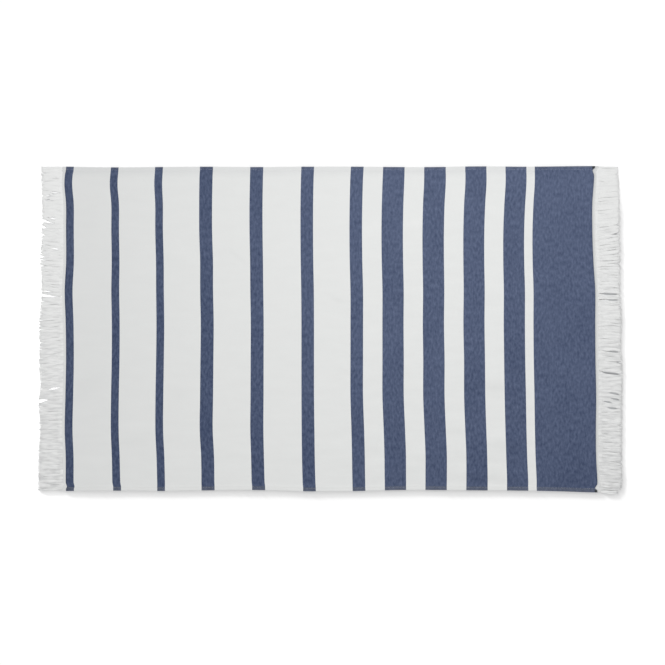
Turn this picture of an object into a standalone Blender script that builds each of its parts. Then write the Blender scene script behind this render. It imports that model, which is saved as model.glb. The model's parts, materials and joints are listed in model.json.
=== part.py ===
"""Beach towel: a flat-woven cotton panel, hemmed on its long edges, fringed at both ends.

The towel lies spread on a level surface. X runs along its length, Y across it, and Z up from the
surface. Sizes are in metres, and the tables are in millimetres.
"""

import bpy
import bmesh
import numpy as np

MM = 0.001
COLLECTION = "beach_towel"

# The woven panel.
CLOTH_LENGTH = 1.633
CLOTH_THICK = 0.0016
HEM_THICK = 0.0032
CLOTH_COLUMNS = 46

# The fringes. The cloth is as wide as its strands side by side.
STRANDS = 110
STRAND_PITCH = 0.00912
CLOTH_WIDTH = STRANDS * STRAND_PITCH
HEADER_WIDTH = 0.012
HEADER_GAP = 0.0003
STRAND_HEIGHT = 0.0028
STRAND_TOP_SHARE = 0.55

# The cloth's rows, counted in strands from its lower long edge. The hems are the first cell and the
# last, one strand wide, and the cloth thins to its single layer over the cell next to each.
ROW_STRANDS = (0, 1, 2, *range(5, STRANDS, 5), STRANDS - 2, STRANDS - 1, STRANDS)
HEM_ROWS = (0, 1, len(ROW_STRANDS) - 2, len(ROW_STRANDS) - 1)

# How far the weave is pushed along X where it was smoothed out by hand: a row for each section
# along the cloth, a column for each line across it.
SWAY_ACROSS = (-500, -470, -395, -320, -210, -100, 15, 125, 200, 310, 385, 455, 500)
SWAY = (
    (-805, (-1, -1, -1, -4, -2, 0, -1, -4, 0, 0, 0, -5, -1)),
    (-595, (4, 3, 1, -2, -2, 0, 1, 0, 0, -2, -2, -6, -3)),
    (-380, (3, 3, 2, -2, -1, 0, 1, -1, -1, -4, -4, -3, -2)),
    (-150, (4, 3, 1, 0, 0, 0, 0, -1, -2, -3, -3, -2, -1)),
    (140, (7, 6, 5, 3, -1, -1, -1, -1, -3, -4, -3, -1, 1)),
    (385, (6, 6, 6, 3, -1, -1, -3, -2, -3, -3, -1, 3, 3)),
    (590, (9, 8, 5, 3, 1, -1, -2, -2, -4, -4, -1, 3, 3)),
    (816, (9, 8, 4, 3, 4, 2, 1, 1, -4, -8, -8, -3, -1)),
)

# How far the two long edges wander along Y: (along, upper edge, lower edge).
EDGES = (
    (-905, 0, -1),
    (-800, -2, 0),
    (-670, -4, 1),
    (-535, -3, 0),
    (-385, -2, 2),
    (-230, -3, 3),
    (-70, -2, -1),
    (85, -2, 0),
    (200, -3, 3),
    (325, -3, 3),
    (450, -1, 2),
    (600, -2, 1),
    (700, -1, -1),
    (790, 0, -4),
    (905, 0, -6),
)

# Soft ridges where the cloth stands off the surface:
# (along, across, half length, half width, rise along its run, height).
RIDGES = (
    (125, -374, 430, 34, 0.04, 2.2),
    (500, -455, 170, 26, 0.0, 1.8),
    (513, -176, 120, 34, -0.1, 1.5),
    (31, 90, 90, 34, -0.3, 1.5),
    (-309, 235, 90, 36, -0.4, 1.4),
    (-560, -330, 150, 40, 0.1, 1.4),
    (-640, 180, 70, 60, 0.6, 1.3),
    (330, 330, 150, 50, 0.1, 1.5),
)
RIDGE_FLOOR = 0.0003

# The origin is the middle of the whole outline, which is a little below the middle of the cloth.
CENTRE_Y = 0.0045

# The line that the strand ends were cut to: (across, left end, right end).
TIPS = (
    (-500, -902, 902),
    (-380, -902, 900),
    (-300, -898, 901),
    (-210, -901, 901),
    (-175, -897, 902),
    (-100, -901, 901),
    (-60, -900, 898),
    (30, -900, 900),
    (105, -893, 895),
    (235, -896, 895),
    (290, -892, 893),
    (345, -891, 894),
    (420, -892, 892),
    (500, -893, 888),
)
TIP_JITTER = 0.0016
TIP_JITTER_TURN = 2.4

# Where neighbouring strands part: (across, from, to, opening), with from and to as shares of the
# strand's length.
PARTINGS_LEFT = (
    (420, 0.12, 0.58, 3.5),
    (410, 0.5, 0.76, 3.0),
    (397, 0.55, 0.8, 2.5),
    (338, 0.3, 0.66, 3.5),
    (325, 0.42, 1.2, 3.5),
    (308, 0.74, 1.2, 3.0),
    (284, 0.88, 1.2, 3.0),
    (245, 0.06, 0.54, 3.0),
    (219, 0.82, 1.2, 2.5),
    (192, 0.9, 1.2, 2.0),
    (112, 0.55, 0.84, 2.5),
    (99, 0.1, 1.25, 3.5),
    (-182, 0.03, 0.66, 4.0),
    (-218, 0.54, 1.2, 4.5),
)
PARTINGS_RIGHT = (
    (312, 0.82, 1.06, 2.8),
    (285, 0.72, 1.06, 3.2),
    (226, 0.84, 1.1, 2.8),
    (200, 0.84, 1.1, 2.8),
    (108, -0.15, 1.05, 3.2),
    (92, -0.1, 0.24, 3.0),
    (92, 0.28, 0.98, 3.2),
    (76, 0.86, 1.1, 2.4),
    (-67, 0.4, 0.96, 3.4),
    (-96, 0.72, 1.06, 3.8),
    (-132, -0.25, 1.25, 4.0),
    (-195, 0.32, 0.96, 3.4),
    (-210, 0.42, 0.97, 3.4),
    (-222, 0.13, 0.6, 3.4),
    (-237, 0.28, 0.84, 3.4),
    (-288, 0.82, 1.08, 3.0),
    (-403, 0.84, 1.08, 2.6),
)
PARTING_REACH = 0.030
PARTING_FADE = 0.12

# How far the strand ends lean along Y from their roots: (across, left fringe, right fringe).
LEANS = (
    (-500, 0, 0),
    (-400, 0, -4),
    (-310, -6, -9),
    (-222, -6, -8),
    (-187, -11, -8),
    (-120, -8, -8),
    (-60, -8, -5),
    (30, -1, -1),
    (105, 4, 1),
    (180, 3, 3),
    (250, 7, 9),
    (330, 7, 10),
    (420, 1, 4),
    (500, 1, 0),
)
LEAN_CURVE = 1.3

# The strands by the lower edge bulge out past the hem, and on the right their ends are rounded off.
BULGE = {-1: 0.001, 1: 0.005}
BULGE_REACH = 0.055
BULGE_TURN = 1.2
ROUND_CORNER = 0.020
ROUND_REACH = 0.012

# A slow wave along the strands, which neighbours follow together.
WAVE = 0.0008
WAVE_PER_STRAND = 3.1
WAVE_ACROSS = 0.060
WAVE_FADE_ACROSS = 0.170

# A strand from its root to its end: (share of its length, width, share of full height).
STRAND_STATIONS = (
    (0.10, 0.0076, 0.8),
    (0.40, 0.0076, 1.0),
    (0.72, 0.0074, 0.95),
    (1.00, 0.0062, 0.6),
)


def smooth_curve(stations, values, at):
    """Cubic pieces through a table's rows, whose slopes follow the neighbouring rows."""
    stations = np.asarray(stations, float)
    values = np.asarray(values, float)
    slopes = np.gradient(values, stations, axis=0)
    at = np.clip(at, stations[0], stations[-1])
    i = np.clip(np.searchsorted(stations, at) - 1, 0, len(stations) - 2)
    span = (stations[i + 1] - stations[i]).reshape(-1, *[1] * (values.ndim - 1))
    t = (at - stations[i]).reshape(span.shape) / span
    start = values[i] * (1 + 2 * t) * (1 - t) ** 2 + slopes[i] * span * t * (1 - t) ** 2
    end = values[i + 1] * t**2 * (3 - 2 * t) - slopes[i + 1] * span * t**2 * (1 - t)
    return start + end


def sway(u, v):
    """Push of the weave along X at cloth coordinates u, v: smooth both ways through the table."""
    sections = [row[0] for row in SWAY]
    along = smooth_curve(sections, np.eye(len(sections)), u / MM)
    across = smooth_curve(SWAY_ACROSS, np.eye(len(SWAY_ACROSS)), v / MM)
    return MM * np.einsum("ns,na,sa->n", along, across, np.array([row[1] for row in SWAY], float))


def edge_push(u, v):
    """Push of the weave along Y: each long edge's own wander, shared out across the width."""
    along, upper, lower = zip(*EDGES)
    share = np.clip(v / CLOTH_WIDTH + 0.5, 0, 1)
    return MM * (
        share * smooth_curve(along, upper, u / MM) + (1 - share) * smooth_curve(along, lower, u / MM)
    )


def lift(u, v):
    """Height of the cloth's underside: the sum of the soft ridges, flat on the surface between."""
    height = np.zeros_like(u)
    for along, across, half_length, half_width, rise, top in RIDGES:
        du = u - along * MM
        dv = v - across * MM - rise * du
        height += top * MM * np.exp(-((du / (half_length * MM)) ** 2) - (dv / (half_width * MM)) ** 2)
    return np.maximum(0, height - RIDGE_FLOOR)


def lay(u, v):
    """Where the point u, v of the flat cloth lies: its underside."""
    return u + sway(u, v), v + edge_push(u, v) + CENTRE_Y, lift(u, v)


def column_points(u):
    """Where the cloth's rows cross its column at u."""
    rows = np.array(ROW_STRANDS) * STRAND_PITCH - CLOTH_WIDTH / 2
    return np.column_stack([rows, *lay(np.full_like(rows, u), rows)])


def material(name, colour, roughness):
    """A plain matt cotton."""
    made = bpy.data.materials.new(name)
    made.use_nodes = True
    shader = made.node_tree.nodes["Principled BSDF"]
    shader.inputs["Base Color"].default_value = (*colour, 1.0)
    shader.inputs["Roughness"].default_value = roughness
    shader.inputs["Metallic"].default_value = 0.0
    made.diffuse_color = (*colour, 1.0)
    return made


def new_object(name, bm, finish, collection):
    """A named object from a bmesh."""
    mesh = bpy.data.meshes.new(name)
    bm.to_mesh(mesh)
    bm.free()
    mesh.materials.append(finish)
    made = bpy.data.objects.new(name, mesh)
    collection.objects.link(made)
    return made


def make_cloth(finish, collection):
    """The woven panel: a grid laid as its underside and thickened upwards, twice at the hems."""
    columns = np.linspace(-CLOTH_LENGTH / 2, CLOTH_LENGTH / 2, CLOTH_COLUMNS + 1)
    laid = np.array([column_points(u)[:, 1:] for u in columns])
    row_cells = len(ROW_STRANDS) - 1
    bm = bmesh.new()
    bmesh.ops.create_grid(bm, x_segments=CLOTH_COLUMNS, y_segments=row_cells, size=0.5)
    thick = []
    for vertex in bm.verts:
        column = round((vertex.co.x + 0.5) * CLOTH_COLUMNS)
        row = round((vertex.co.y + 0.5) * row_cells)
        vertex.co = laid[column, row]
        if row in HEM_ROWS:
            thick.append(vertex.index)
    cloth = new_object("cloth", bm, finish, collection)
    hems = cloth.vertex_groups.new(name="hems")
    hems.add(thick, 1.0, "REPLACE")
    solidify = cloth.modifiers.new("thickness", "SOLIDIFY")
    solidify.thickness = HEM_THICK
    solidify.offset = 1.0
    solidify.vertex_group = hems.name
    solidify.thickness_vertex_group = CLOTH_THICK / HEM_THICK
    return cloth


def strand_borders(side):
    """The lines between the strands where they leave the header, from the lower edge up."""
    v = np.arange(STRANDS + 1) * STRAND_PITCH - CLOTH_WIDTH / 2
    rows, x, y, _ = column_points(side * CLOTH_LENGTH / 2).T
    inner = np.column_stack([np.interp(v, rows, x) + side * HEADER_GAP, np.interp(v, rows, y)])
    outer = inner + (side * HEADER_WIDTH, 0.0)
    return v, inner, outer


def strand_drift(side, v, share):
    """How far the strands stray along Y at a share of their length: the slow wave, the partings,
    the lean of their ends, and the bulge by the lower edge."""
    turn = v / WAVE_ACROSS
    drift = WAVE * (np.sin(WAVE_PER_STRAND * share + turn) - np.sin(turn))
    drift *= np.sin(v / WAVE_FADE_ACROSS + side)
    for across, start, stop, opening in PARTINGS_LEFT if side < 0 else PARTINGS_RIGHT:
        middle, half = (start + stop) / 2, (stop - start) / 2 + PARTING_FADE
        along = np.clip(1 - ((share - middle) / half) ** 2, 0, 1)
        off = v - across * MM
        drift += np.sign(off) * opening / 2 * MM * along * np.exp(-np.abs(off) / PARTING_REACH)
    across, left, right = zip(*LEANS)
    drift += MM * smooth_curve(across, left if side < 0 else right, v / MM) * share**LEAN_CURVE
    near_lower_edge = np.exp(-(CLOTH_WIDTH / 2 + v) / BULGE_REACH)
    return drift - BULGE[side] * near_lower_edge * np.sin(np.pi * share / BULGE_TURN)


def strand_reach(side, v, root_x):
    """Length of each strand, from its root to the cut line, a little uneven."""
    across, left, right = zip(*TIPS)
    tips = MM * smooth_curve(across, left if side < 0 else right, v / MM)
    reach = np.abs(tips - root_x)
    reach -= TIP_JITTER * (0.5 + 0.5 * np.sin(np.arange(len(v)) * TIP_JITTER_TURN + side))
    if side > 0:
        reach -= ROUND_CORNER * np.exp(-(CLOTH_WIDTH / 2 + v) / ROUND_REACH)
    return reach


def make_fringe(name, side, finish, collection):
    """A woven header strip whose outer faces are drawn out, one by one, into strands."""
    v, inner, outer = strand_borders(side)
    middle = (v[:-1] + v[1:]) / 2
    root = (outer[:-1] + outer[1:]) / 2
    reach = strand_reach(side, middle, root[:, 0])

    bm = bmesh.new()
    bmesh.ops.create_grid(bm, x_segments=1, y_segments=STRANDS, size=0.5)
    for vertex in bm.verts:
        border = round((vertex.co.y + 0.5) * STRANDS)
        line = outer if vertex.co.x > 0 else inner
        vertex.co = (*line[border], 0.0)
    raised = bmesh.ops.extrude_face_region(bm, geom=bm.faces[:])
    top = [item for item in raised["geom"] if isinstance(item, bmesh.types.BMVert)]
    bmesh.ops.translate(bm, verts=top, vec=(0.0, 0.0, CLOTH_THICK))
    bmesh.ops.recalc_face_normals(bm, faces=bm.faces[:])

    number = bm.faces.layers.int.new("strand")
    ends = []
    bm.faces.ensure_lookup_table()
    for face in bm.faces:
        centre = face.calc_center_median()
        strand = int(np.argmin(np.abs(root[:, 1] - centre.y)))
        if abs(centre.x - root[strand, 0]) < HEADER_WIDTH / 4 and abs(face.normal.x) > 0.5:
            face[number] = strand
            ends.append(face)

    for share, width, height in STRAND_STATIONS:
        ends = bmesh.ops.extrude_discrete_faces(bm, faces=ends)["faces"]
        centre_x = root[:, 0] + side * reach * share
        centre_y = root[:, 1] + strand_drift(side, middle, share)
        for face in ends:
            strand = face[number]
            old = face.calc_center_median()
            for vertex in face.verts:
                upper = vertex.co.z > old.z
                half = width / 2 * (STRAND_TOP_SHARE if upper else 1.0)
                sign = 1.0 if vertex.co.y > old.y else -1.0
                vertex.co.x = centre_x[strand]
                vertex.co.y = centre_y[strand] + sign * half
                vertex.co.z = STRAND_HEIGHT * height if upper else 0.0
    bmesh.ops.recalc_face_normals(bm, faces=bm.faces[:])
    return new_object(name, bm, finish, collection)


def clear_scene():
    """Start from an empty scene."""
    for old in list(bpy.data.objects):
        bpy.data.objects.remove(old, do_unlink=True)


def main():
    clear_scene()
    collection = bpy.data.collections.new(COLLECTION)
    bpy.context.scene.collection.children.link(collection)
    make_cloth(material("woven_cotton", (0.72, 0.73, 0.74), 0.9), collection)
    yarn = material("cotton_yarn", (0.76, 0.77, 0.77), 0.95)
    make_fringe("fringe_left", -1, yarn, collection)
    make_fringe("fringe_right", 1, yarn, collection)


main()
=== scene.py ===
"""Beach towel, dressed: woven stripes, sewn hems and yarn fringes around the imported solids.

The towel lies spread on a pale floor. X runs along its length, Y across it, and Z up. Sizes are in
metres, and the tables are in millimetres. u (along) and v (across) are places on the flat cloth, as
it was woven, before it was laid out.
"""

import json
import math
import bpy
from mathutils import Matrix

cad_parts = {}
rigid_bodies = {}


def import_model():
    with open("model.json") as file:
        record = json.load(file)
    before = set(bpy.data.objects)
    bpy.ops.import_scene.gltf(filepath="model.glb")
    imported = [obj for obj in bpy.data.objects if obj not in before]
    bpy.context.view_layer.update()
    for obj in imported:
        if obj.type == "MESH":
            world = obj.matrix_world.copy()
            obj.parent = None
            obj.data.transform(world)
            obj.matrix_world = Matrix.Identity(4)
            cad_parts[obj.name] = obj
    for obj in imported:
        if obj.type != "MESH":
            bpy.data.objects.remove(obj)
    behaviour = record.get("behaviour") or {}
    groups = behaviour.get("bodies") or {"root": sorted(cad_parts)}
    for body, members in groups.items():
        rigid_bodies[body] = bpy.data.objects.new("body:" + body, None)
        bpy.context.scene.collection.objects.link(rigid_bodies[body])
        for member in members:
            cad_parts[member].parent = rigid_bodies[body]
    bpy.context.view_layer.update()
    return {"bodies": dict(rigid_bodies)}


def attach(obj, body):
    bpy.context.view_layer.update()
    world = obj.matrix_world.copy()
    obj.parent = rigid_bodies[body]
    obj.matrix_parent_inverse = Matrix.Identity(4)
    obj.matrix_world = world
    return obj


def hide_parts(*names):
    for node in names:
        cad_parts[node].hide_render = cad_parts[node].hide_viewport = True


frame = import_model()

from types import SimpleNamespace

import bpy
import numpy as np

MM = 0.001
BODY = next(iter(frame["bodies"]))

# The woven panel.
CLOTH_LENGTH = 1.633
CLOTH_THICK = 0.0016
HEM_THICK = 0.0032

# The fringes. The cloth is as wide as its strands side by side.
STRANDS = 110
STRAND_PITCH = 0.00912
CLOTH_WIDTH = STRANDS * STRAND_PITCH
HEADER_WIDTH = 0.012
HALF_LENGTH = CLOTH_LENGTH / 2
HALF_WIDTH = CLOTH_WIDTH / 2

# The stripes as woven, from the left end: (blue width, white gap after it).
STRIPES = (
    (24, 117), (24, 113), (24, 113), (40, 115), (40, 117), (39, 113),
    (39, 60), (66, 60), (66, 60), (65, 59), (65, 26), (188, 0),
)

# How far the weave is pushed along X where it was smoothed out by hand: a row for each section
# along the cloth, a column for each line across it.
SWAY_ACROSS = (-500, -470, -395, -320, -210, -100, 15, 125, 200, 310, 385, 455, 500)
SWAY = (
    (-805, (-1, -1, -1, -4, -2, 0, -1, -4, 0, 0, 0, -5, -1)),
    (-595, (4, 3, 1, -2, -2, 0, 1, 0, 0, -2, -2, -6, -3)),
    (-380, (3, 3, 2, -2, -1, 0, 1, -1, -1, -4, -4, -3, -2)),
    (-150, (4, 3, 1, 0, 0, 0, 0, -1, -2, -3, -3, -2, -1)),
    (140, (7, 6, 5, 3, -1, -1, -1, -1, -3, -4, -3, -1, 1)),
    (385, (6, 6, 6, 3, -1, -1, -3, -2, -3, -3, -1, 3, 3)),
    (590, (9, 8, 5, 3, 1, -1, -2, -2, -4, -4, -1, 3, 3)),
    (816, (9, 8, 4, 3, 4, 2, 1, 1, -4, -8, -8, -3, -1)),
)

# How far the two long edges wander along Y: (along, upper edge, lower edge).
EDGES = (
    (-905, 0, -1), (-800, -2, 0), (-670, -4, 1), (-535, -3, 0), (-385, -2, 2), (-230, -3, 3),
    (-70, -2, -1), (85, -2, 0), (200, -3, 3), (325, -3, 3), (450, -1, 2), (600, -2, 1),
    (700, -1, -1), (790, 0, -4), (905, 0, -6),
)

# Soft ridges where the cloth stands off the surface:
# (along, across, half length, half width, rise along its run, height).
RIDGES = (
    (125, -374, 430, 34, 0.04, 2.2), (500, -455, 170, 26, 0.0, 1.8),
    (513, -176, 120, 34, -0.1, 1.5), (31, 90, 90, 34, -0.3, 1.5), (-309, 235, 90, 36, -0.4, 1.4),
    (-560, -330, 150, 40, 0.1, 1.4), (-640, 180, 70, 60, 0.6, 1.3), (330, 330, 150, 50, 0.1, 1.5),
)

# Taken off the ridges' height, so that they run out in flat cloth.
RIDGE_FLOOR = 0.0003

# The shift along Y that brings the middle of the outline to Y = 0.
CENTRE_Y = 0.0045

# The line that the strand ends were cut to: (across, left end, right end).
TIPS = (
    (-500, -902, 902), (-380, -902, 900), (-300, -898, 901), (-210, -901, 901), (-175, -897, 902),
    (-100, -901, 901), (-60, -900, 898), (30, -900, 900), (105, -893, 895), (235, -896, 895),
    (290, -892, 893), (345, -891, 894), (420, -892, 892), (500, -893, 888),
)

# The ends are uneven by a sine wave: the most that it takes off, and its turn for each strand.
TIP_JITTER = 0.0016
TIP_JITTER_TURN = 2.4

# Where neighbouring strands part in the left and right fringe: (across, from, to, opening), with
# from and to as shares of the strand's length.
PARTINGS = {
    -1: (
        (420, 0.12, 0.58, 3.5), (410, 0.5, 0.76, 3), (397, 0.55, 0.8, 2.5), (338, 0.3, 0.66, 3.5),
        (325, 0.42, 1.2, 3.5), (308, 0.74, 1.2, 3), (284, 0.88, 1.2, 3), (245, 0.06, 0.54, 3),
        (219, 0.82, 1.2, 2.5), (192, 0.9, 1.2, 2), (112, 0.55, 0.84, 2.5), (99, 0.1, 1.25, 3.5),
        (-182, 0.03, 0.66, 4), (-218, 0.54, 1.2, 4.5),
    ),
    1: (
        (312, 0.82, 1.06, 2.8), (285, 0.72, 1.06, 3.2), (226, 0.84, 1.1, 2.8), (200, 0.84, 1.1, 2.8),
        (108, -0.15, 1.05, 3.2), (92, -0.1, 0.24, 3), (92, 0.28, 0.98, 3.2), (76, 0.86, 1.1, 2.4),
        (-67, 0.4, 0.96, 3.4), (-96, 0.72, 1.06, 3.8), (-132, -0.25, 1.25, 4), (-195, 0.32, 0.96, 3.4),
        (-210, 0.42, 0.97, 3.4), (-222, 0.13, 0.6, 3.4), (-237, 0.28, 0.84, 3.4), (-288, 0.82, 1.08, 3),
        (-403, 0.84, 1.08, 2.6),
    ),
}
PARTING_REACH = 0.030
PARTING_FADE = 0.12

# How far the strand ends lean along Y from their roots: (across, left fringe, right fringe).
LEANS = (
    (-500, 0, 0), (-400, 0, -4), (-310, -6, -9), (-222, -6, -8), (-187, -11, -8), (-120, -8, -8),
    (-60, -8, -5), (30, -1, -1), (105, 4, 1), (180, 3, 3), (250, 7, 9), (330, 7, 10), (420, 1, 4),
    (500, 1, 0),
)
LEAN_CURVE = 1.3

# The strands by the lower edge bulge out past the hem, and those on the right end in a round corner.
BULGE = {-1: 0.001, 1: 0.005}
BULGE_REACH = 0.055
BULGE_TURN = 1.2
ROUND_CORNER = 0.020
ROUND_REACH = 0.012

# A slow wave along the strands, which neighbours follow together.
WAVE = 0.0008
WAVE_PER_STRAND = 3.1
WAVE_ACROSS = 0.060
WAVE_FADE_ACROSS = 0.170

# The hems are one turn of the cloth, folded under: (along, upper and lower stitch line from its edge).
HEMS = (
    (-816, 9.0, 10.5), (-600, 8.8, 9.4), (-300, 8.8, 9.4), (300, 9.0, 9.2), (600, 9.0, 9.8),
    (816, 11.0, 11.8),
)
HEM_SLOPE_END = 2 * STRAND_PITCH
HEM_TURN_SHARES = (0.35, 0.55, 0.75, 0.86, 0.93, 1.0, 1.07, 1.14, 1.2)
HEM_SELVEDGE_SHARE = 1.16
STITCH_GROOVE = 0.0005
STITCH_GROOVE_HALF = 0.0010

# The sewing drags the weave along X: (along, at the upper hem, at the lower hem).
HEM_DRAG = (
    (-816, 1.8, 1.0), (-680, 0.3, 2.4), (-540, 0.2, -0.2), (-385, 0.8, 0.6), (-230, 0.4, 1.4),
    (60, 0.2, -0.4), (400, -0.6, -0.4), (816, 0.0, -1.5),
)
HEM_DRAG_REACH = 0.012

# Where a seam's end pulls the weave in, or lets it out where the pull is below zero: (end, edge,
# distance from the edge, pull, reach towards the edge, reach inwards, reach along the seam).
END_PULLS = (
    (-1, -1, 13.5, 3, 4, 8, 50), (1, -1, 12.6, 7, 3.5, 9, 14),
    (1, 1, 11.7, 6, 3, 11, 14), (1, 1, 2.5, -1.5, 4, 4, 14),
)

# Small ripples in the cloth: (wave length, heading in turns, phase in turns, height).
RIPPLES = (
    (210, 0.04, 0.10, 0.20), (160, 0.21, 0.55, 0.16), (131, 0.44, 0.31, 0.14),
    (97, 0.13, 0.83, 0.10), (83, 0.35, 0.47, 0.08), (61, 0.27, 0.05, 0.06),
)
RIPPLE_FADE = 0.05

# Painted shade and light of faint creases in the cloth, soft dark and pale streaks with no height:
# (along, across, half length, half width, rise along its run, percent of the light lost).
CREASE_SHADES = (
    (510, -182, 60, 14, 0, 4.5), (515, -361, 60, 11, 0, 4), (520, -404, 60, 10, 0, 2),
    (490, -463, 100, 13, 0, 3.5), (510, -320, 70, 22, 0, -2.5), (510, -435, 60, 9, 0, -1.5),
    (510, -486, 50, 8, 0, -1.5), (385, -318, 50, 14, 0, 2), (385, -455, 60, 18, 0, 1.5),
    (263, -375, 45, 16, 0, -2), (263, -440, 60, 18, 0, 1.8), (263, 333, 50, 20, 0, -2),
    (136, -372, 40, 15, -0.2, 2.5), (136, -408, 40, 12, 0, -2), (136, 315, 45, 22, 0, -1.6),
    (120, -455, 70, 16, 0, 1.5), (20, 92, 26, 9, -0.35, 3.5), (-286, 224, 26, 9, -0.75, 2.5),
    (-300, 75, 40, 16, 0, -1.2), (-455, -408, 40, 18, 0, -1.4), (-455, -204, 40, 20, 0.2, 1.4),
    (-455, 240, 40, 22, 0, -1.2), (-600, -343, 45, 14, 0.2, 1.8), (-600, -300, 40, 14, 0, -1.4),
    (-745, -175, 50, 34, 0.3, 2.5), (-735, -408, 40, 18, 0, -1.6),
)

# Short puckers by the stitch lines: an uneven sine wave, and a second, longer one.
PUCKER = 0.00035
PUCKER_REACH = 0.010
PUCKER_WAVE = 0.024
PUCKER_UNEVEN = 1.7
PUCKER_UNEVEN_WAVES = 13
PUCKER_SECOND = 0.6
PUCKER_SECOND_WAVES = 1.7

# Steps of the cloth's mesh along and across it, and points on a hem's fold and inner slope.
COLUMN_STEP = 0.0062
ROW_STEP = 0.008
FOLD_POINTS = 5
SLOPE_POINTS = 6


def smooth_curve(stations, values, at):
    """Cubic pieces through a table's rows, whose slopes follow the neighbouring rows."""
    stations = np.asarray(stations, float)
    values = np.asarray(values, float)
    slopes = np.gradient(values, stations, axis=0)
    at = np.clip(at, stations[0], stations[-1])
    i = np.clip(np.searchsorted(stations, at) - 1, 0, len(stations) - 2)
    shape = np.shape(at) + (1,) * (values.ndim - 1)
    span = (stations[i + 1] - stations[i]).reshape(shape)
    t = (at - stations[i]).reshape(shape) / span
    start = values[i] * (1 + 2 * t) * (1 - t) ** 2 + slopes[i] * span * t * (1 - t) ** 2
    end = values[i + 1] * t**2 * (3 - 2 * t) - slopes[i + 1] * span * t**2 * (1 - t)
    return start + end


def column(table, number):
    """One numbered column of a table."""
    return [row[number] for row in table]


def curve(table, number, at):
    """A table's column as a smooth curve, in metres, at places in metres along its first column."""
    return MM * smooth_curve(column(table, 0), column(table, number), at / MM)


def ease(t):
    """0 before t = 0, 1 after t = 1, and 3t² − 2t³ between."""
    t = np.clip(t, 0, 1)
    return t * t * (3 - 2 * t)


def sway(u, v):
    """Push of the weave along X: smooth both ways through the table."""
    along = smooth_curve(column(SWAY, 0), np.eye(len(SWAY)), u / MM)
    across = smooth_curve(SWAY_ACROSS, np.eye(len(SWAY_ACROSS)), v / MM)
    return MM * np.einsum("...s,...a,sa->...", along, across, np.array(column(SWAY, 1), float))


def edge_push(u, v):
    """Push of the weave along Y: each long edge's own wander, shared out across the width."""
    share = np.clip(v / CLOTH_WIDTH + 0.5, 0, 1)
    return share * curve(EDGES, 1, u) + (1 - share) * curve(EDGES, 2, u)


def mounds(table, u, v):
    """A sum of long soft mounds, each a bell curve along its run times a bell curve across it."""
    height = np.zeros(np.broadcast(u, v).shape)
    for along, across, half_length, half_width, rise, top in table:
        du = u / MM - along
        dv = v / MM - across - rise * du
        height += top * np.exp(-((du / half_length) ** 2) - (dv / half_width) ** 2)
    return height


def lift(u, v):
    """Height of the main ridges: their mounds less RIDGE_FLOOR, where that is above zero."""
    return np.maximum(0, MM * mounds(RIDGES, u, v) - RIDGE_FLOOR)


def stitch_line(side, u):
    """Distance of a hem's stitch line from its edge, smooth along the cloth; side is 1 for upper."""
    return np.where(side > 0, curve(HEMS, 1, u), curve(HEMS, 2, u))


def from_edge(v):
    """Distance of v from the nearer long edge, and that edge's side."""
    side = np.where(v > 0, 1.0, -1.0)
    return HALF_WIDTH - np.abs(v), side


def ripple(u, v):
    """Height of the small ripples: plane waves with their troughs cut off, faded out at both ends,
    and short puckers that die away from each stitch line."""
    waves = np.zeros(np.broadcast(u, v).shape)
    for length, heading, phase, height in RIPPLES:
        turn = math.tau * heading
        path = (u * math.cos(turn) + v * math.sin(turn)) / (length * MM)
        waves += height * MM * np.sin(math.tau * (path + phase))
    distance, side = from_edge(v)
    run = math.tau * u / PUCKER_WAVE
    pucker = np.sin(run + PUCKER_UNEVEN * side * np.sin(run / PUCKER_UNEVEN_WAVES))
    pucker += PUCKER_SECOND * np.sin(run / PUCKER_SECOND_WAVES + side)
    waves += PUCKER * pucker * np.exp(-np.abs(distance - stitch_line(side, u)) / PUCKER_REACH)
    ends = ease((HALF_LENGTH - np.abs(u)) / RIPPLE_FADE)
    return np.maximum(0, waves) * ends


def hem_drag(u, v):
    """How far the sewing drags the weave along X: the hems' own drag, full over each hem and gone a
    little way inside it, and bell-shaped pulls at the seams' ends."""
    distance, side = from_edge(v)
    inside = ease((2 * HEM_DRAG_REACH - distance) / HEM_DRAG_REACH)
    drag = np.where(side > 0, curve(HEM_DRAG, 1, u), curve(HEM_DRAG, 2, u)) * inside
    for end, edge, middle, pull, outwards, inwards, along in END_PULLS:
        off = distance / MM - middle
        bell = np.exp(-((off / np.where(off < 0, outwards, inwards)) ** 2)) * (side == edge)
        drag -= end * pull * MM * bell * np.exp(-(HALF_LENGTH - end * u) / (along * MM))
    return drag


def lay(u, v):
    """Where the point u, v of the flat cloth lies, as x, y, and the height of its underside."""
    return u + sway(u, v) + hem_drag(u, v), v + edge_push(u, v) + CENTRE_Y, lift(u, v) + ripple(u, v)


# ---- meshes


def new_piece(name, points, quads, finish, uv=None, polygons=()):
    """A mesh piece at the origin from arrays of points and four-cornered faces, and further faces."""
    mesh = bpy.data.meshes.new(name)
    mesh.from_pydata(points.reshape(-1, 3).tolist(), [], quads.tolist() + list(polygons))
    mesh.shade_smooth()
    if uv is not None:
        corner = np.zeros(len(mesh.loops), np.int32)
        mesh.loops.foreach_get("vertex_index", corner)
        layer = mesh.uv_layers.new(name="weave")
        layer.data.foreach_set("uv", uv.reshape(-1, 2)[corner].astype(np.float32).ravel())
    mesh.materials.append(finish)
    mesh.update()
    piece = bpy.data.objects.new(name, mesh)
    bpy.context.scene.collection.objects.link(piece)
    return piece


def store(piece, name, values):
    """Keeps a number for each point of a piece, for its material to read."""
    layer = piece.data.attributes.new(name, "FLOAT", "POINT")
    layer.data.foreach_set("value", values.astype(np.float32).ravel())


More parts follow.
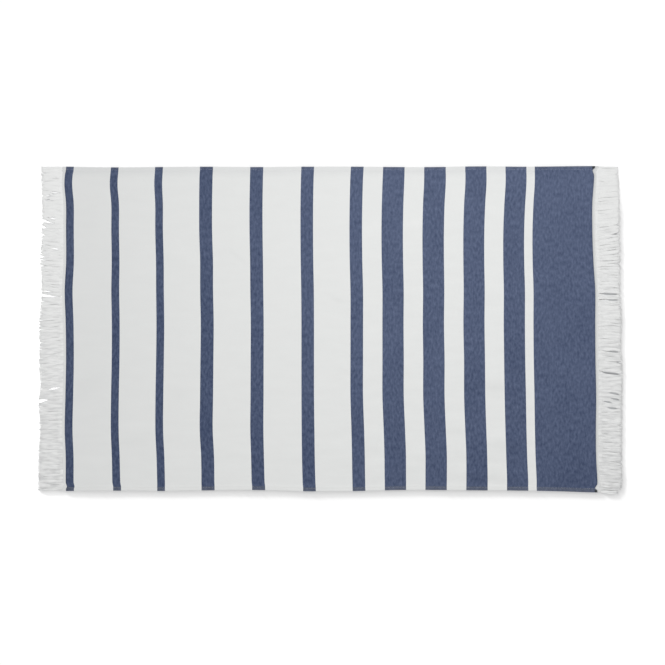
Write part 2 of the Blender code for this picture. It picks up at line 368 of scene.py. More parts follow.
def round_quads(rows, columns):
    """Corner numbers of the faces of a rows × columns grid that is closed round its columns."""
    i = np.arange(rows - 1)[:, None]
    j = np.arange(columns)[None, :]
    after = (j + 1) % columns
    corners = (i * columns + j, (i + 1) * columns + j, (i + 1) * columns + after, i * columns + after)
    return np.stack(corners, -1).reshape(-1, 4)


def tubes(paths, radii, sides, flat=1.0):
    """Points and faces of many tubes at once: about every path point a ring at right angles to the
    path, level across and scaled by flat upwards. Each end is closed by one face."""
    count, stations = paths.shape[:2]
    ahead = np.gradient(paths, axis=1)
    ahead /= np.linalg.norm(ahead, axis=-1, keepdims=True)
    across = np.cross((0.0, 0.0, 1.0), ahead)
    across /= np.linalg.norm(across, axis=-1, keepdims=True)
    up = np.cross(ahead, across)
    turn = math.tau * np.arange(sides) / sides
    ring = across[:, :, None] * np.cos(turn)[:, None] + flat * up[:, :, None] * np.sin(turn)[:, None]
    points = paths[:, :, None] + radii[:, :, None, None] * ring
    one = round_quads(stations, sides)[:, ::-1]
    start = np.arange(count)[:, None, None] * stations * sides
    quads = (one[None] + start).reshape(-1, 4)
    first = np.arange(sides)[::-1]
    last = (stations - 1) * sides + np.arange(sides)
    ends = np.concatenate([start[:, 0] + first, start[:, 0] + last])
    return points, quads, ends.tolist()


# ---- cloth


def hem_rows(side, u):
    """Rows over one hem, from its fold inwards, at every column u: v, height of the top face and of
    the bottom face above the cloth's underside, and whether the bottom face is the turned layer's.

    The fold is a half circle. The turned layer is level to the stitch line, where the thread pulls a
    groove, and ends in a selvedge below; then both faces slope down to the single layer."""
    radius = HEM_THICK / 2
    step = HEM_THICK - CLOTH_THICK
    turn = np.linspace(0, math.pi / 2, FOLD_POINTS)
    line = stitch_line(side, u)[:, None]
    whole = np.ones_like(line)
    fold = radius * (1 - np.cos(turn)) * whole
    shares = np.array(HEM_TURN_SHARES)
    flat = shares * line
    inner = shares[-1] * line
    share = np.linspace(0, 1, SLOPE_POINTS + 1)[1:]
    slope = inner + share * (HEM_SLOPE_END - inner)
    groove = STITCH_GROOVE * np.exp(-(((flat - line) / STITCH_GROOVE_HALF) ** 2))
    drop = step * ease(share) * whole
    distance = np.concatenate([fold, flat, slope], 1)
    top = np.concatenate([radius * (1 + np.sin(turn)) * whole, HEM_THICK - groove, HEM_THICK - drop], 1)
    under = np.where(shares < HEM_SELVEDGE_SHARE, 0.0, step) * whole
    bottom = np.concatenate([radius * (1 - np.sin(turn)) * whole, under, step - drop], 1)
    turned = distance < HEM_SELVEDGE_SHARE * line
    return side * (HALF_WIDTH - distance), top, bottom, turned


def cloth_section(u):
    """The cloth's closed outline across, at every column u: top rows from the lower edge to the upper
    one, then the bottom rows back. Gives v, height above the underside, and v on the unfolded cloth."""
    inner = HALF_WIDTH - HEM_SLOPE_END
    cells = round(2 * inner / ROW_STEP)
    middle = np.linspace(-inner, inner, cells + 1)[1:-1] * np.ones((len(u), 1))
    single = (middle, np.full_like(middle, CLOTH_THICK), 0 * middle, np.zeros_like(middle, bool))
    rows = zip(hem_rows(-1, u), single, hem_rows(1, u))
    v, top, bottom, turned = (np.concatenate([low, plain, up[:, ::-1]], 1) for low, plain, up in rows)
    woven = np.where(turned, np.sign(v) * 2 * HALF_WIDTH - v, v)
    back = slice(-2, 0, -1)
    return (
        np.concatenate([v, v[:, back]], 1),
        np.concatenate([top, bottom[:, back]], 1),
        np.concatenate([v, woven[:, back]], 1),
    )


def make_cloth(finish):
    """The striped panel with its hems: the closed section carried along u and laid on the floor.
    Point = lay(u, v) + the section's height; its ends are closed by faces from top to bottom."""
    u = np.linspace(-HALF_LENGTH, HALF_LENGTH, round(CLOTH_LENGTH / COLUMN_STEP) + 1)
    v, height, woven = cloth_section(u)
    u_all = np.broadcast_to(u[:, None], v.shape)
    x, y, base = lay(u_all, v)
    points = np.stack([x, y, base + height], -1)
    columns = v.shape[1]
    quads = round_quads(len(u), columns)
    half = columns // 2
    i = np.arange(1, half - 1)
    cap = np.stack([i, i + 1, columns - i - 1, columns - i], 1)
    last = (len(u) - 1) * columns
    quads = np.concatenate([quads[:, ::-1], cap[:, ::-1], cap + last])
    tips = [[0, 1, columns - 1], [half - 1, half, half + 1]]
    corners = [tip[::-1] for tip in tips] + [[n + last for n in tip] for tip in tips]
    uv = np.stack([u_all, woven], -1)
    cloth = new_piece("towel_cloth", points, quads, finish, uv, corners)
    # Painted shade and light of the creases, for the material to read.
    store(cloth, "crease_shade", mounds(CREASE_SHADES, u_all, v))
    return cloth


# ---- fringes


def strand_drift(side, v, share):
    """How far the strands stray along Y at a share of their length: the slow wave, the partings,
    the lean of their ends, and the bulge by the lower edge."""
    turn = v / WAVE_ACROSS
    drift = WAVE * (np.sin(WAVE_PER_STRAND * share + turn) - np.sin(turn))
    drift *= np.sin(v / WAVE_FADE_ACROSS + side)
    for across, start, stop, opening in PARTINGS[side]:
        middle, half = (start + stop) / 2, (stop - start) / 2 + PARTING_FADE
        along = np.clip(1 - ((share - middle) / half) ** 2, 0, 1)
        off = v - across * MM
        drift += np.sign(off) * opening / 2 * MM * along * np.exp(-np.abs(off) / PARTING_REACH)
    drift += curve(LEANS, 1 if side < 0 else 2, v) * share**LEAN_CURVE
    near_lower_edge = np.exp(-(HALF_WIDTH + v) / BULGE_REACH)
    return drift - BULGE[side] * near_lower_edge * np.sin(math.pi * share / BULGE_TURN)


def strand_reach(side, v, root_x):
    """Length of each strand, from its root to the cut line, a little uneven."""
    reach = np.abs(curve(TIPS, 1 if side < 0 else 2, v) - root_x)
    reach -= TIP_JITTER * (0.5 + 0.5 * np.sin(np.arange(len(v)) * TIP_JITTER_TURN + side))
    if side > 0:
        reach -= ROUND_CORNER * np.exp(-(HALF_WIDTH + v) / ROUND_REACH)
    return reach


HEADER_SCALLOP = 0.0010
HEADER_LIP_SHARE = 0.7

# Rows of points over the header: for each strand, and near each fold.
HEADER_ROWS_PER_STRAND = 4
FOLD_ROWS = (0.00005, 0.0003, 0.0007, 0.0012, 0.0018)

# The header's section, out along its top to the lip and back below: shares of its width and of
# its thickness.
HEADER_OUT = (0, 0.35, 0.7, 0.95, 1.0, 0.95, 0.7, 0.35, 0)
HEADER_LEVEL = (1, 1, 1, 0.85, 0.5, 0.15, 0, 0, 0)


def make_header(name, side, finish):
    """The woven strip that holds the strands: the cloth's own section, hems and all, carried out over
    the header's width and thinned to a rounded lip. The lip is scalloped, out at each strand."""
    end = np.array([side * HALF_LENGTH])
    section_v, height, _ = cloth_section(end)
    half = section_v.shape[1] // 2 + 1
    folds = HALF_WIDTH - np.array(FOLD_ROWS)
    inner = HALF_WIDTH - STRAND_PITCH / HEADER_ROWS_PER_STRAND
    plain = np.linspace(-inner, inner, STRANDS * HEADER_ROWS_PER_STRAND - 1)
    v = np.concatenate([-folds, plain, folds[::-1]])
    top = np.interp(v, section_v[0, :half], height[0, :half])
    back = np.concatenate([height[0, :1], height[0, half:][::-1], height[0, half - 1 : half]])
    bottom = np.interp(v, section_v[0, :half], back)
    x, y, base = lay(np.full_like(v, side * HALF_LENGTH), v)
    scallop = HEADER_SCALLOP * np.cos(math.tau * (v + HALF_WIDTH) / STRAND_PITCH)
    share = np.array(HEADER_OUT)
    out = share * (HEADER_WIDTH - scallop)[:, None]
    thick = (top - bottom)[:, None] * (1 + (HEADER_LIP_SHARE - 1) * share)
    rise = bottom[:, None] + thick * np.array(HEADER_LEVEL)
    points = np.stack(np.broadcast_arrays(x[:, None] + side * out, y[:, None], base[:, None] + rise), -1)
    uv = np.stack(np.broadcast_arrays(side * (HALF_LENGTH + out), v[:, None]), -1)
    columns = len(share)
    quads = round_quads(len(v), columns)
    ends = [list(range(columns)), [len(v) * columns - 1 - n for n in range(columns)]]
    if side < 0:
        quads = quads[:, ::-1]
        ends = [face[::-1] for face in ends]
    return new_piece(name, points, quads, finish, uv, ends)


# The locks lie side by side. The borders between them wander, and open here and there.
BORDER_ASIDE = 0.0020
BORDER_SWING = 0.0009
BORDER_SWING_TURN = 4.5
BORDER_GAP = 0.0008
BORDER_GAP_TURN = 5.0
BORDER_GAP_RARE = 1.5
TIP_GAP = 0.0008
PARTING_WIDER = {-1: 1.2, 1: 0.5}

# The share of a lock's length past which it opens and drops towards its end.
TIP_START = 0.8

# A lock is a flat loop of yarns about a flat core, turned a little, mostly the same way.
LOCK_TURNS = (0.12, 0.48)
LOCK_TURN_WAYS = (-1, 1, 1)
LOCK_MIDDLE = 0.0015
LOCK_RISE = 0.0003
LOCK_HIGHER = 0.0005
LOCK_FLATNESS = 0.95
LOCK_GATHER = 0.22

# The yarns' roots, side by side in the header.
ROOT_DEPTH = 0.0065
ROOT_HEIGHT = 0.0009
ROOT_SINK = 0.0002
ROOT_THINNESS = 0.6
ROOT_SPACING = 0.00103

# The yarns of a lock. Each strays, has its own thickness, and is cut a little short.
YARNS = 9
YARN_RADIUS = 0.00086
YARN_THICKNESS = (0.92, 1.06)
YARN_SIDES = 5
YARN_STATIONS = 13
YARN_PHASE_SPREAD = 0.02
YARN_WANDER = 0.00025
YARN_WANDER_PHASE = 6
YARN_SHORTER = 0.05
YARN_OVER = 0.0024
YARN_TAPER = 0.5
YARN_TAPER_START = 0.88
TIP_DROP = 0.0005

# The core of a lock, wider where it is bared in a parting, so that it lies in the gap as a sheet for
# painted deep shade. The map gives each of its edges a place round it, counted in yarns.
CORE_SIDES = 8
CORE_YARNS = 12
CORE_MAP = (0, 1, 3, 5, 6, 7, 9, 11)
CORE_STATIONS = (0, 0.14, 0.28, 0.43, 0.57, 0.71, 0.86, 0.96, 1)
CORE_LENGTH = 0.96
CORE_WIDER = 0.0002
CORE_ACROSS = {-1: 0.0, 1: 0.0024}
CORE_ROOT_HEIGHT = 0.0006
CORE_HEIGHT = 0.0014
CORE_ROOT_FLAT = 0.09
CORE_FLAT = 0.22
CORE_HALF_THICK = 0.0016
CORE_TAPER = 0.5

SEED = 11


def near_tip(share, start=TIP_START):
    """0 up to a share of the length, then easing to 1 at its end."""
    return ease((share - start) / (1 - start))


def lay_locks(side):
    """What each lock is like: its strand's line and length, as the solid's, its turn, and the borders
    on its two sides. All have a row for each lock, then axes for its yarns and their stations."""
    random = np.random.default_rng(SEED + side)
    borders = np.arange(STRANDS + 1) * STRAND_PITCH - HALF_WIDTH
    v = (borders[:-1] + borders[1:]) / 2
    x, y, _ = lay(np.full_like(borders, side * HALF_LENGTH), borders)
    root_x = (x[:-1] + x[1:]) / 2 + side * HEADER_WIDTH
    one_each = (STRANDS, 1, 1)
    aside = BORDER_ASIDE * random.uniform(-1, 1, STRANDS + 1)
    for across, *_ in PARTINGS[side]:
        nearest = np.argmin(np.abs(borders - across * MM))
        aside[nearest] = across * MM - borders[nearest]
    wander = {
        "v": borders,
        "aside": aside,
        "swing": math.tau * random.random(STRANDS + 1),
        "gap": math.tau * random.random(STRANDS + 1),
        "tip": TIP_GAP * random.random(STRANDS + 1) ** 2,
        "rare": BORDER_GAP_RARE * random.random(STRANDS + 1),
    }
    return SimpleNamespace(
        random=random,
        side=side,
        v=v.reshape(one_each),
        root_x=root_x.reshape(one_each),
        root_y=((y[:-1] + y[1:]) / 2).reshape(one_each),
        reach=strand_reach(side, v, root_x).reshape(one_each),
        below={key: value[:-1].reshape(one_each) for key, value in wander.items()},
        above={key: value[1:].reshape(one_each) for key, value in wander.items()},
        turns=random.uniform(*LOCK_TURNS, one_each) * random.choice(LOCK_TURN_WAYS, one_each),
        start=random.random(one_each),
        higher=random.random(one_each) ** 2,
    )


def border_wander(side, border, share):
    """How far a border between locks strays along Y at a share of their length, half the gap there,
    and how far they part, from 0 to 1. The first two are sine waves along it. Below zero the gap is
    an overlap, and it widens at the strands' ends and where they part."""
    free = ease(share / LOCK_GATHER)
    stray = border["aside"] + BORDER_SWING * np.sin(BORDER_SWING_TURN * share + border["swing"])
    gap = (np.sin(BORDER_GAP_TURN * share + border["gap"]) - border["rare"]) * BORDER_GAP
    gap = gap + border["tip"] * near_tip(share)
    parted = 0 * gap
    for across, start, stop, opening in PARTINGS[side]:
        middle, half = (start + stop) / 2, (stop - start) / 2
        along = np.clip(1 - ((share - middle) / half) ** 2, 0, 1)
        here = np.abs(border["v"] - across * MM) < STRAND_PITCH / 2
        gap = gap + here * along * (PARTING_WIDER[side] * opening * MM - gap)
        parted = np.maximum(parted, here * along)
    return stray * free, gap * free / 2, parted * free


def lock_form(locks, along):
    """The middle line and the half width of every lock, from distances along it, and how far it is
    parted from the locks below and above it."""
    share = np.clip(along / locks.reach, 0, 1)
    low, low_gap, low_parted = border_wander(locks.side, locks.below, share)
    high, high_gap, high_parted = border_wander(locks.side, locks.above, share)
    x = locks.root_x + locks.side * along
    y = locks.root_y + strand_drift(locks.side, locks.v, share) + (low + low_gap + high - high_gap) / 2
    return share, x, y, (STRAND_PITCH + high - high_gap - low - low_gap) / 2, (low_parted, high_parted)


def thread_map(run, yarns, turn):
    """Map of many tubes: the run along each, and the turn round it plus the tube's number times how
    many yarns its sides stand for."""
    turn = np.arange(len(run))[:, None, None] * yarns + np.asarray(turn)
    return np.stack(np.broadcast_arrays(run, turn), -1)


def make_yarns(name, locks, finish):
    """The yarns of each lock. A path is the lock's middle line plus a slow turn round a flat loop:
    across is the arc sine of the turn's sine, and height its cosine. At the root the yarns come up
    side by side out of the header, in the loop's order, and their ends are cut unevenly."""
    random = locks.random
    each = (STRANDS, YARNS, 1)
    cut_short = 1 - YARN_SHORTER * random.random(each) ** 2
    stations = np.linspace(0, 1, YARN_STATIONS)
    along = stations * cut_short * (locks.reach + YARN_OVER + ROOT_DEPTH) - ROOT_DEPTH
    share, x, y, half, _ = lock_form(locks, along)
    number = np.arange(YARNS)[:, None] / YARNS + YARN_PHASE_SPREAD * random.normal(size=each)
    phase = math.tau * (number + locks.start + locks.turns * share)
    loop = np.arcsin(LOCK_FLATNESS * np.sin(phase)) / math.asin(LOCK_FLATNESS)
    order = np.argsort(np.argsort(loop[:, :, :1], axis=1), axis=1)
    beside = (order - (YARNS - 1) / 2) * ROOT_SPACING
    gathered = ease(share / LOCK_GATHER)
    wave = math.pi * share * (1 + random.random(each)) + YARN_WANDER_PHASE * random.random(each)
    wander = YARN_WANDER * share * random.normal(size=each) * np.sin(wave)
    across = beside + gathered * ((half - YARN_RADIUS) * loop - beside) + wander
    root = ROOT_HEIGHT - ROOT_SINK * ease(-along / ROOT_DEPTH)
    middle = LOCK_MIDDLE + LOCK_HIGHER * locks.higher
    height = root + gathered * (middle + LOCK_RISE * np.cos(phase) - root)
    height = height - TIP_DROP * near_tip(share)
    paths = np.stack(np.broadcast_arrays(x, y + across, height), -1).reshape(-1, YARN_STATIONS, 3)
    taper = 1 - YARN_TAPER * near_tip(stations, YARN_TAPER_START)
    taper[0] = ROOT_THINNESS
    radii = YARN_RADIUS * taper * random.uniform(*YARN_THICKNESS, (len(paths), 1))
    points, quads, ends = tubes(paths, radii, YARN_SIDES)
    uv = thread_map(along.reshape(-1, YARN_STATIONS, 1), 1, np.arange(YARN_SIDES) / YARN_SIDES)
    return new_piece(name, points, quads, finish, uv, ends)


def make_cores(name, locks, finish):
    """The yarns inside each lock, as one flat tapered core, flatter still at its root. Its map lays
    them side by side: they meet at each of its edges, and down the middle of each wide face. In the
    right fringe they also lie across the partings, as a sheet for painted deep shade there, and their
    attribute says how far they are bared, which is where that painted shade goes."""
    stations = np.array(CORE_STATIONS)
    along = stations * (CORE_LENGTH * locks.reach + ROOT_DEPTH / 2) - ROOT_DEPTH / 2
    share, x, y, half, (low_parted, high_parted) = lock_form(locks, along)
    low_across = CORE_ACROSS[locks.side] * low_parted
    high_across = CORE_ACROSS[locks.side] * high_parted
    y = y + (high_across - low_across) / 2
    half = half + (high_across + low_across) / 2
    height = CORE_ROOT_HEIGHT + (CORE_HEIGHT - CORE_ROOT_HEIGHT) * ease(share / LOCK_GATHER)
    paths = np.stack(np.broadcast_arrays(x, y, height), -1)[:, 0]
    radii = (half[:, 0] + CORE_WIDER) * (1 - CORE_TAPER * near_tip(stations))
    flat = CORE_ROOT_FLAT + (CORE_FLAT - CORE_ROOT_FLAT) * ease(stations / LOCK_GATHER)
    flat = np.minimum(flat, CORE_HALF_THICK / radii)[:, :, None, None]
    points, quads, ends = tubes(paths, radii, CORE_SIDES, flat)
    uv = thread_map(along[:, 0, :, None], CORE_YARNS, CORE_MAP)
    cores = new_piece(name, points, quads, finish, uv, ends)
    towards_upper = locks.side * np.cos(math.tau * np.arange(CORE_SIDES) / CORE_SIDES)
    parted = np.where(towards_upper > 0, high_parted[:, 0, :, None], low_parted[:, 0, :, None])
    store(cores, "bared", parted * np.abs(towards_upper))
    return cores


# ---- sewing

STITCH_PITCH = 0.0034
STITCH_LENGTH = 0.0023
STITCH_RADIUS = 0.00012
STITCH_SIDES = 5
STITCH_POINTS = 6
STITCH_RISE = 0.00015
STITCH_SINK = 0.0004
STITCH_BELOW = 1 / 3


def make_stitches(name, side, finish):
    """Lockstitches along a hem, above and below: each a short bow of thread that rises out of the cloth
    and goes back into it, half a sine high, and lower on the face that lies on the floor."""
    count = int(CLOTH_LENGTH / STITCH_PITCH)
    middle = (np.arange(count) + 0.5) * STITCH_PITCH - count * STITCH_PITCH / 2
    bow = np.linspace(-0.5, 0.5, STITCH_POINTS)
    u = middle[:, None] + bow * STITCH_LENGTH
    v = side * (HALF_WIDTH - stitch_line(side, u))
    x, y, base = lay(u, v)
    rise = (STITCH_RISE + STITCH_SINK) * np.cos(math.pi * bow) - STITCH_SINK
    above = np.stack([x, y, base + HEM_THICK - STITCH_GROOVE + rise], -1)
    below = np.stack([x, y, base - STITCH_BELOW * rise], -1)
    paths = np.concatenate([above, below])
    radii = np.full(paths.shape[:2], STITCH_RADIUS)
    points, quads, ends = tubes(paths, radii, STITCH_SIDES)
    run = np.tile((bow[:, None] + 0.5) * STITCH_LENGTH, (len(paths), 1, 1))
    uv = thread_map(run, 1, np.arange(STITCH_SIDES) / STITCH_SIDES)
    return new_piece(name, points, quads, finish, uv, ends)


# ---- finishes


RELIEF_DEPTH = 0.0003


class Nodes:
    """Short calls for a material's nodes and links."""

    def __init__(self, name):
        self.material = bpy.data.materials.new(name)
        self.material.use_nodes = True
        self.tree = self.material.node_tree
        self.shader = self.tree.nodes["Principled BSDF"]

    def link(self, value, socket):
        """Joins a socket to an input, or sets the input to a plain value."""
        if isinstance(value, bpy.types.NodeSocket):
            self.tree.links.new(value, socket)
        else:
            socket.default_value = value

    def add(self, kind, **settings):
        """A node of a kind, with its settings."""
        node = self.tree.nodes.new(kind)
        for key, value in settings.items():
            setattr(node, key, value)
        return node

    def fill(self, node, settings):
        """Sets a node's inputs, each from another node or to a plain value."""
        for name, value in settings.items():
            self.link(value, node.inputs[name])

    def math(self, operation, *values, clamp=False):
        """The result of one sum on up to three values."""
        node = self.add("ShaderNodeMath", operation=operation, use_clamp=clamp)
        for value, socket in zip(values, node.inputs):
            self.link(value, socket)
        return node.outputs[0]

    def times(self, first, second, clamp=False):
        """One value times another."""
        return self.math("MULTIPLY", first, second, clamp=clamp)

    def line(self, value, slope, start, clamp=False):
        """A value times a slope, plus a start."""
        return self.math("MULTIPLY_ADD", value, slope, start, clamp=clamp)

    def mix(self, share, first, second, blend="MIX"):
        """A colour between two colours, or blended from them."""
        node = self.add("ShaderNodeMix", data_type="RGBA", blend_type=blend)
        colour_inputs = [s for s in node.inputs if s.type == "RGBA"]
        self.link(share, node.inputs[0])
        self.link(first, colour_inputs[0])
        self.link(second, colour_inputs[1])
        return next(s for s in node.outputs if s.type == "RGBA")

    def parts(self, place):
        """A place's numbers along its first two axes."""
        split = self.add("ShaderNodeSeparateXYZ")
        self.link(place, split.inputs[0])
        return split.outputs[0], split.outputs[1]

    def hump(self, value):
        """Half a sine over each whole step of a value."""
        return self.math("SINE", self.times(self.math("FRACT", value), math.pi))

    def noise(self, place, size, detail):
        """Smooth noise from 0 to 1, whose blotches have a size along each of two axes."""
        mapping = self.add("ShaderNodeMapping")
        self.fill(mapping, {"Vector": place, "Scale": (1 / size[0], 1 / size[1], 1)})
        node = self.add("ShaderNodeTexNoise")
        self.fill(node, {"Vector": mapping.outputs[0], "Scale": 1.0, "Detail": detail})
        return node.outputs["Fac"]

    def spread(self, value, low, high):
        """A value from 0 to 1 stretched to run from low to high."""
        return self.line(value, high - low, low)

    def stored(self, name):
        """The number that each point of the piece keeps under a name."""
        return self.add("ShaderNodeAttribute", attribute_name=name).outputs["Fac"]

    def relief(self, height, strength):
        """Gives the surface a fine relief."""
        bump = self.add("ShaderNodeBump")
        self.fill(bump, {"Strength": strength, "Distance": RELIEF_DEPTH, "Height": height})
        self.fill(self.shader, {"Normal": bump.outputs[0]})


BLUE = (0.026, 0.045, 0.106, 1.0)
BLUE_LIGHT = (0.111, 0.144, 0.243, 1.0)
WHITE = (0.81, 0.82, 0.81, 1.0)
WHITE_SHADE = (0.715, 0.725, 0.725, 1.0)

# The hems' open right ends: the painted shade in them, how far in they lie, and how softly it ends.
MOUTH_PAINTED_SHADE = (0.022, 0.026, 0.030, 1.0)
MOUTH_IN = 0.0042
MOUTH_FADE = 0.0015

# A grey mixed into the blue over the hems.
HEM_GREY = (0.16, 0.165, 0.17, 1.0)
HEM_GREYING = 0.3
LOWER_HEM_REACH = 0.0145
LOWER_HEM_STEEPNESS = 3.0
UPPER_HEM_REACH = 0.010

# The width of a weft pick and of a warp end, and the shade between them.
PICK_PITCH = 0.0011
END_PITCH = 0.0016
WEAVE_SHADE = 0.5
WEAVE_RELIEF = 0.5

# The blue's heather, flecks and broad clouds: (size along and across, detail, least and most tone).
BLOTCHES = (
    ((0.0065, 0.014), 3.0, -0.4, 1.2), ((0.0012, 0.004), 1.0, -0.1, 0.2), ((0.12, 0.18), 2.0, -0.2, 0.2),
)

# Painted light makes the blue paler towards the upper edge, and painted shade makes it darker in
# the left half, fully so from where the rise for each metre makes 1.
PAINTED_LIGHT_ACROSS = 0.235
LEFT_RISE = 2.5
LEFT_PAINTED_SHADE = -0.18
LEFT_PAINTED_SHADE_ACROSS = -0.08

# The white is shaded by the upper hem and at the far left.
UPPER_SHADE_REACH = 0.035
UPPER_SHADE = 0.75
UPPER_SHADE_MOST = 0.6
FAR_LEFT_FROM = -0.36
FAR_LEFT_SHADE = 0.2

# Painted light and shade: the mottle of soft wrinkles, which grows towards the lower right corner,
# and the shade on the right header by the wide band.
MOTTLE_SIZE = (0.09, 0.026)
MOTTLE = 0.025
MOTTLE_LEAST = 0.02
MOTTLE_RISE = 0.02
PERCENT = 0.01
BAND_SHADE = 0.2
BAND_SHADE_REACH = 0.008


def striped(nodes, u):
    """1 where the weft is blue and 0 where it is white: u within half a stripe of its middle."""
    inside = 0.0
    start = -HALF_LENGTH
    for blue, gap in STRIPES:
        half = blue * MM / 2
        inside = nodes.math("ADD", inside, nodes.math("COMPARE", u, start + half, half))
        start += (blue + gap) * MM
    return inside


def hem_tint(nodes, u, v, blue):
    """The blue, greyed over each hem: evenly on the lower hem, and mostly by the fold on the upper one.
    Painted shade darkens it in the hems' open right ends."""
    inwards = nodes.math("SUBTRACT", HALF_WIDTH, nodes.math("ABSOLUTE", v))
    lower = nodes.line(inwards, -LOWER_HEM_STEEPNESS / LOWER_HEM_REACH, LOWER_HEM_STEEPNESS, clamp=True)
    upper = nodes.line(inwards, -1 / UPPER_HEM_REACH, 1.0, clamp=True)
    is_upper = nodes.math("GREATER_THAN", v, 0.0)
    over = nodes.line(is_upper, nodes.math("SUBTRACT", upper, lower), lower)
    tinted = nodes.mix(nodes.times(over, HEM_GREYING), blue, HEM_GREY)
    # Painted shade in the hems' open right ends.
    off_end = nodes.math("SUBTRACT", HALF_LENGTH - MOUTH_IN, u)
    off_edge = nodes.math("SUBTRACT", inwards, MOUTH_IN)
    apart = nodes.times(off_edge, off_edge)
    apart = nodes.math("SQRT", nodes.line(off_end, off_end, apart))
    mouth = nodes.line(apart, -1 / MOUTH_FADE, MOUTH_IN / MOUTH_FADE + 0.5, clamp=True)
    return nodes.mix(mouth, tinted, MOUTH_PAINTED_SHADE)


def blue_heather_and_light(nodes, place, u, v):
    """Tone of the heathered blue, from 0 for dark to 1 for pale: its heather and clouds, with painted
    light that pales it towards the upper edge and painted shade in the left half.
    """
    tone = nodes.times(v, PAINTED_LIGHT_ACROSS)
    for size, detail, least, most in BLOTCHES:
        tone = nodes.math("ADD", tone, nodes.spread(nodes.noise(place, size, detail), least, most))
    left = nodes.times(u, -LEFT_RISE, clamp=True)
    left_shade = nodes.line(v, LEFT_PAINTED_SHADE_ACROSS, LEFT_PAINTED_SHADE)
    return nodes.line(left, left_shade, tone, clamp=True)


def white_shade(nodes, u, v, weave):
    """How far the white goes towards its shade between the yarns, by the upper hem and far left."""
    shade = nodes.times(nodes.math("SUBTRACT", 1.0, weave, clamp=True), WEAVE_SHADE)
    upper = nodes.line(v, 1 / UPPER_SHADE_REACH, 1 - HALF_WIDTH / UPPER_SHADE_REACH)
    upper = nodes.math("MINIMUM", nodes.math("MAXIMUM", upper, 0.0), UPPER_SHADE_MOST)
    shade = nodes.line(upper, UPPER_SHADE, shade)
    far_left = nodes.line(u, -LEFT_RISE, LEFT_RISE * FAR_LEFT_FROM, clamp=True)
    return nodes.line(far_left, FAR_LEFT_SHADE, shade)


def cloth_light(nodes, place, u, v):
    """What the colour is multiplied by, as painted light and shade: the mottle of soft wrinkles, less the
    painted shade of the creases, and less the painted shade on the right header by the wide band."""
    mottle = nodes.spread(nodes.noise(place, MOTTLE_SIZE, 2.0), -1.0, 1.0)
    strength = nodes.line(nodes.math("SUBTRACT", u, v), MOTTLE_RISE, MOTTLE)
    strength = nodes.math("MAXIMUM", strength, MOTTLE_LEAST)
    light = nodes.line(mottle, strength, 1.0)
    light = nodes.line(nodes.stored("crease_shade"), -PERCENT, light)
    past_band = nodes.math("SUBTRACT", u, HALF_LENGTH)
    by_band = nodes.line(past_band, -1 / BAND_SHADE_REACH, 1.0, clamp=True)
    by_band = nodes.times(by_band, nodes.math("GREATER_THAN", past_band, 0.0))
    return nodes.line(by_band, -BAND_SHADE, light)


def woven_cotton():
    """Flat weave: thick weft picks across the cloth that ride over and under fine white warp ends.
    The weave's height is half a sine over each pick, times a sine along it, from half to full, that
    is shifted by half a wave from each pick to the next."""
    nodes = Nodes("woven_cotton")
    place = nodes.add("ShaderNodeUVMap", uv_map="weave").outputs[0]
    u, v = nodes.parts(place)
    pick = nodes.math("DIVIDE", u, PICK_PITCH)
    end = nodes.math("DIVIDE", v, END_PITCH)
    odd = nodes.times(nodes.math("FLOORED_MODULO", nodes.math("FLOOR", pick), 2.0), 0.5)
    over = nodes.math("SINE", nodes.times(nodes.math("ADD", end, odd), math.tau))
    weave = nodes.times(nodes.hump(pick), nodes.line(over, 0.25, 0.75))

    blue = nodes.mix(blue_heather_and_light(nodes, place, u, v), BLUE, BLUE_LIGHT)
    blue = hem_tint(nodes, u, v, blue)
    white = nodes.mix(white_shade(nodes, u, v, weave), WHITE, WHITE_SHADE)
    colour = nodes.mix(striped(nodes, u), white, blue)
    colour = nodes.mix(1.0, colour, cloth_light(nodes, place, u, v), "MULTIPLY")
    nodes.fill(nodes.shader, {"Base Color": colour, "Roughness": 0.75, "Specular IOR Level": 0.5})
    nodes.relief(weave, WEAVE_RELIEF)
    return nodes.material


YARN_WHITE = (0.93, 0.935, 0.93, 1.0)
YARN_SHADE = (0.72, 0.725, 0.725, 1.0)
YARN_TONE = 0.56
DEEP_SHADE = (0.49, 0.50, 0.51, 1.0)

# A yarn's plies, its fuzz along it, and the grooves between the yarns on a core's faces.
PLY_PITCH = 0.0045
FUZZ_SIZE = (0.002, 1 / 3)
FUZZ_HEIGHT = 0.5
YARN_RELIEF = 0.6
CORE_GROOVE = 1.5

# Shade of the yarns: each its own, of the fuzz, between the plies, and in clouds along the locks.
# Both the shade and its clouds grow fainter towards the upper edge.
OWN_TONE = 0.3
FUZZ_TONE = 0.3
PLY_TONE = 0.2
YARN_TONE_ACROSS = -1.0
CLOUD_SIZE = (0.035, 0.007)
CLOUD_TONE = 2.0
CLOUD_TONE_ACROSS = -2.2
BARED_STEEPNESS = 3.0
BARED_FROM = 0.2


